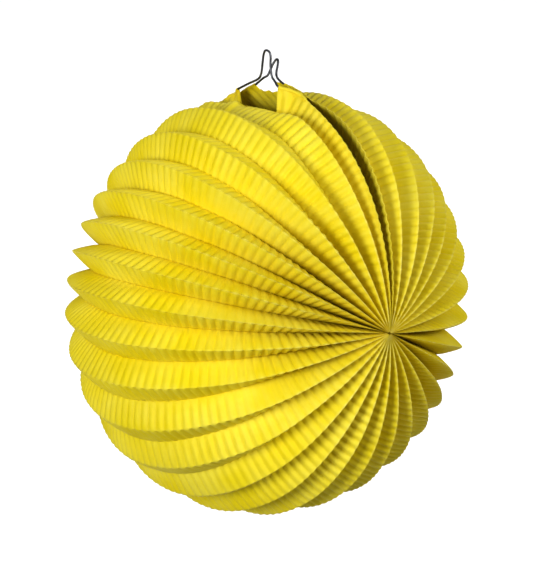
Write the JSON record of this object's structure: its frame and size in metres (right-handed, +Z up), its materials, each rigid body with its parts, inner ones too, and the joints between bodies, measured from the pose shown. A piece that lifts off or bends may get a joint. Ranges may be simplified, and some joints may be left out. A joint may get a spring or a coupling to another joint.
{
  "type": "paper ball lantern",
  "caption": "Round hanging lantern of crimped yellow paper in deep pole-to-pole pleats, opened as a fan to a seam and notch at the top under two wire bails.",
  "frame": {"origin": "the point in the front bail's loop on which a hook or cord bears", "axes": "+X along the line through the two poles, towards the near pole; +Z up; -Y towards the front, where the first pleats hang from the front leaf"},
  "size_m": [0.186, 0.2198, 0.2405],
  "materials": {
    "crimped_paper": "matte, finely crimped",
    "leaf_paper": "matte, crimped and doubled",
    "bail_wire": "bright drawn wire",
    "tie_thread": "matte thread"
  },
  "bodies": {
    "front_leaf": {"end_leaf_front": "leaf_paper", "bail_front": "bail_wire", "near_pole_tie": "tie_thread", "far_pole_tie": "tie_thread"},
    "fold_01": {"pleat_01": "crimped_paper"},
    "fold_02": {"pleat_02": "crimped_paper"},
    "fold_03": {"pleat_03": "crimped_paper"},
    "fold_04": {"pleat_04": "crimped_paper"},
    "fold_05": {"pleat_05": "crimped_paper"},
    "fold_06": {"pleat_06": "crimped_paper"},
    "fold_07": {"pleat_07": "crimped_paper"},
    "fold_08": {"pleat_08": "crimped_paper"},
    "fold_09": {"pleat_09": "crimped_paper"},
    "fold_10": {"pleat_10": "crimped_paper"},
    "fold_11": {"pleat_11": "crimped_paper"},
    "fold_12": {"pleat_12": "crimped_paper"},
    "fold_13": {"pleat_13": "crimped_paper"},
    "fold_14": {"pleat_14": "crimped_paper"},
    "fold_15": {"pleat_15": "crimped_paper"},
    "fold_16": {"pleat_16": "crimped_paper"},
    "fold_17": {"pleat_17": "crimped_paper"},
    "fold_18": {"pleat_18": "crimped_paper"},
    "fold_19": {"pleat_19": "crimped_paper"},
    "fold_20": {"pleat_20": "crimped_paper"},
    "fold_21": {"pleat_21": "crimped_paper"},
    "fold_22": {"pleat_22": "crimped_paper"},
    "fold_23": {"pleat_23": "crimped_paper"},
    "fold_24": {"pleat_24": "crimped_paper"},
    "fold_25": {"pleat_25": "crimped_paper"},
    "fold_26": {"pleat_26": "crimped_paper"},
    "fold_27": {"pleat_27": "crimped_paper"},
    "fold_28": {"pleat_28": "crimped_paper"},
    "fold_29": {"pleat_29": "crimped_paper"},
    "fold_30": {"pleat_30": "crimped_paper"},
    "back_leaf": {"end_leaf_back": "leaf_paper", "bail_back": "bail_wire"}
  },
  "joints": [
    {"name": "fan_fold", "type": "hinge", "parent": "front_leaf", "child": "back_leaf", "pos_m": [0.0015, 0, -0.1296], "axis": [1, 0, 0], "range_deg": [-331.3, 0]},
    {"name": "fold_01_swing", "type": "hinge", "parent": "front_leaf", "child": "fold_01", "pos_m": [0.0015, 0, -0.1296], "axis": [1, 0, 0], "range_deg": [-5.66, 0], "deforming": ["pleat_01"]},
    {"name": "fold_02_swing", "type": "hinge", "parent": "front_leaf", "child": "fold_02", "pos_m": [0.0015, 0, -0.1296], "axis": [1, 0, 0], "range_deg": [-17.7, 0], "deforming": ["pleat_02"]},
    {"name": "fold_03_swing", "type": "hinge", "parent": "front_leaf", "child": "fold_03", "pos_m": [0.0015, 0, -0.1296], "axis": [1, 0, 0], "range_deg": [-29.76, 0], "deforming": ["pleat_03"]},
    {"name": "fold_04_swing", "type": "hinge", "parent": "front_leaf", "child": "fold_04", "pos_m": [0.0015, 0, -0.1296], "axis": [1, 0, 0], "range_deg": [-40.44, 0], "deforming": ["pleat_04"]},
    {"name": "fold_05_swing", "type": "hinge", "parent": "front_leaf", "child": "fold_05", "pos_m": [0.0015, 0, -0.1296], "axis": [1, 0, 0], "range_deg": [-49.99, 0], "deforming": ["pleat_05"]},
    {"name": "fold_06_swing", "type": "hinge", "parent": "front_leaf", "child": "fold_06", "pos_m": [0.0015, 0, -0.1296], "axis": [1, 0, 0], "range_deg": [-58.91, 0], "deforming": ["pleat_06"]},
    {"name": "fold_07_swing", "type": "hinge", "parent": "front_leaf", "child": "fold_07", "pos_m": [0.0015, 0, -0.1296], "axis": [1, 0, 0], "range_deg": [-67.76, 0], "deforming": ["pleat_07"]},
    {"name": "fold_08_swing", "type": "hinge", "parent": "front_leaf", "child": "fold_08", "pos_m": [0.0015, 0, -0.1296], "axis": [1, 0, 0], "range_deg": [-77.06, 0], "deforming": ["pleat_08"]},
    {"name": "fold_09_swing", "type": "hinge", "parent": "front_leaf", "child": "fold_09", "pos_m": [0.0015, 0, -0.1296], "axis": [1, 0, 0], "range_deg": [-87.32, 0], "deforming": ["pleat_09"]},
    {"name": "fold_10_swing", "type": "hinge", "parent": "front_leaf", "child": "fold_10", "pos_m": [0.0015, 0, -0.1296], "axis": [1, 0, 0], "range_deg": [-98.91, 0], "deforming": ["pleat_10"]},
    {"name": "fold_11_swing", "type": "hinge", "parent": "front_leaf", "child": "fold_11", "pos_m": [0.0015, 0, -0.1296], "axis": [1, 0, 0], "range_deg": [-111.8, 0], "deforming": ["pleat_11"]},
    {"name": "fold_12_swing", "type": "hinge", "parent": "front_leaf", "child": "fold_12", "pos_m": [0.0015, 0, -0.1296], "axis": [1, 0, 0], "range_deg": [-125.5, 0], "deforming": ["pleat_12"]},
    {"name": "fold_13_swing", "type": "hinge", "parent": "front_leaf", "child": "fold_13", "pos_m": [0.0015, 0, -0.1296], "axis": [1, 0, 0], "range_deg": [-139.24, 0], "deforming": ["pleat_13"]},
    {"name": "fold_14_swing", "type": "hinge", "parent": "front_leaf", "child": "fold_14", "pos_m": [0.0015, 0, -0.1296], "axis": [1, 0, 0], "range_deg": [-152.43, 0], "deforming": ["pleat_14"]},
    {"name": "fold_15_swing", "type": "hinge", "parent": "front_leaf", "child": "fold_15", "pos_m": [0.0015, 0, -0.1296], "axis": [1, 0, 0], "range_deg": [-164.95, 0], "deforming": ["pleat_15"]},
    {"name": "fold_16_swing", "type": "hinge", "parent": "front_leaf", "child": "fold_16", "pos_m": [0.0015, 0, -0.1296], "axis": [1, 0, 0], "range_deg": [-177.07, 0], "deforming": ["pleat_16"]},
    {"name": "fold_17_swing", "type": "hinge", "parent": "front_leaf", "child": "fold_17", "pos_m": [0.0015, 0, -0.1296], "axis": [1, 0, 0], "range_deg": [-189.05, 0], "deforming": ["pleat_17"]},
    {"name": "fold_18_swing", "type": "hinge", "parent": "front_leaf", "child": "fold_18", "pos_m": [0.0015, 0, -0.1296], "axis": [1, 0, 0], "range_deg": [-200.8, 0], "deforming": ["pleat_18"]},
    {"name": "fold_19_swing", "type": "hinge", "parent": "front_leaf", "child": "fold_19", "pos_m": [0.0015, 0, -0.1296], "axis": [1, 0, 0], "range_deg": [-211.97, 0], "deforming": ["pleat_19"]},
    {"name": "fold_20_swing", "type": "hinge", "parent": "front_leaf", "child": "fold_20", "pos_m": [0.0015, 0, -0.1296], "axis": [1, 0, 0], "range_deg": [-222.3, 0], "deforming": ["pleat_20"]},
    {"name": "fold_21_swing", "type": "hinge", "parent": "front_leaf", "child": "fold_21", "pos_m": [0.0015, 0, -0.1296], "axis": [1, 0, 0], "range_deg": [-232.03, 0], "deforming": ["pleat_21"]},
    {"name": "fold_22_swing", "type": "hinge", "parent": "front_leaf", "child": "fold_22", "pos_m": [0.0015, 0, -0.1296], "axis": [1, 0, 0], "range_deg": [-241.72, 0], "deforming": ["pleat_22"]},
    {"name": "fold_23_swing", "type": "hinge", "parent": "front_leaf", "child": "fold_23", "pos_m": [0.0015, 0, -0.1296], "axis": [1, 0, 0], "range_deg": [-251.85, 0], "deforming": ["pleat_23"]},
    {"name": "fold_24_swing", "type": "hinge", "parent": "front_leaf", "child": "fold_24", "pos_m": [0.0015, 0, -0.1296], "axis": [1, 0, 0], "range_deg": [-262.38, 0], "deforming": ["pleat_24"]},
    {"name": "fold_25_swing", "type": "hinge", "parent": "front_leaf", "child": "fold_25", "pos_m": [0.0015, 0, -0.1296], "axis": [1, 0, 0], "range_deg": [-272.84, 0], "deforming": ["pleat_25"]},
    {"name": "fold_26_swing", "type": "hinge", "parent": "front_leaf", "child": "fold_26", "pos_m": [0.0015, 0, -0.1296], "axis": [1, 0, 0], "range_deg": [-282.82, 0], "deforming": ["pleat_26"]},
    {"name": "fold_27_swing", "type": "hinge", "parent": "front_leaf", "child": "fold_27", "pos_m": [0.0015, 0, -0.1296], "axis": [1, 0, 0], "range_deg": [-292.45, 0], "deforming": ["pleat_27"]},
    {"name": "fold_28_swing", "type": "hinge", "parent": "front_leaf", "child": "fold_28", "pos_m": [0.0015, 0, -0.1296], "axis": [1, 0, 0], "range_deg": [-302.45, 0], "deforming": ["pleat_28"]},
    {"name": "fold_29_swing", "type": "hinge", "parent": "front_leaf", "child": "fold_29", "pos_m": [0.0015, 0, -0.1296], "axis": [1, 0, 0], "range_deg": [-313.6, 0], "deforming": ["pleat_29"]},
    {"name": "fold_30_swing", "type": "hinge", "parent": "front_leaf", "child": "fold_30", "pos_m": [0.0015, 0, -0.1296], "axis": [1, 0, 0], "range_deg": [-325.43, 0], "deforming": ["pleat_30"]}
  ],
  "couplings": [
    {"joint": "fold_01_swing", "follows": "fan_fold", "ratio": 0.017065},
    {"joint": "fold_02_swing", "follows": "fan_fold", "ratio": 0.053383},
    {"joint": "fold_03_swing", "follows": "fan_fold", "ratio": 0.089791},
    {"joint": "fold_04_swing", "follows": "fan_fold", "ratio": 0.12205},
    {"joint": "fold_05_swing", "follows": "fan_fold", "ratio": 0.15087},
    {"joint": "fold_06_swing", "follows": "fan_fold", "ratio": 0.1778},
    {"joint": "fold_07_swing", "follows": "fan_fold", "ratio": 0.2045},
    {"joint": "fold_08_swing", "follows": "fan_fold", "ratio": 0.23256},
    {"joint": "fold_09_swing", "follows": "fan_fold", "ratio": 0.26354},
    {"joint": "fold_10_swing", "follows": "fan_fold", "ratio": 0.29851},
    {"joint": "fold_11_swing", "follows": "fan_fold", "ratio": 0.33743},
    {"joint": "fold_12_swing", "follows": "fan_fold", "ratio": 0.37879},
    {"joint": "fold_13_swing", "follows": "fan_fold", "ratio": 0.42026},
    {"joint": "fold_14_swing", "follows": "fan_fold", "ratio": 0.46007},
    {"joint": "fold_15_swing", "follows": "fan_fold", "ratio": 0.49785},
    {"joint": "fold_16_swing", "follows": "fan_fold", "ratio": 0.53444},
    {"joint": "fold_17_swing", "follows": "fan_fold", "ratio": 0.5706},
    {"joint": "fold_18_swing", "follows": "fan_fold", "ratio": 0.60607},
    {"joint": "fold_19_swing", "follows": "fan_fold", "ratio": 0.63977},
    {"joint": "fold_20_swing", "follows": "fan_fold", "ratio": 0.67097},
    {"joint": "fold_21_swing", "follows": "fan_fold", "ratio": 0.70034},
    {"joint": "fold_22_swing", "follows": "fan_fold", "ratio": 0.72959},
    {"joint": "fold_23_swing", "follows": "fan_fold", "ratio": 0.76015},
    {"joint": "fold_24_swing", "follows": "fan_fold", "ratio": 0.79194},
    {"joint": "fold_25_swing", "follows": "fan_fold", "ratio": 0.82352},
    {"joint": "fold_26_swing", "follows": "fan_fold", "ratio": 0.85364},
    {"joint": "fold_27_swing", "follows": "fan_fold", "ratio": 0.88271},
    {"joint": "fold_28_swing", "follows": "fan_fold", "ratio": 0.91289},
    {"joint": "fold_29_swing", "follows": "fan_fold", "ratio": 0.94655},
    {"joint": "fold_30_swing", "follows": "fan_fold", "ratio": 0.98224}
  ]
}
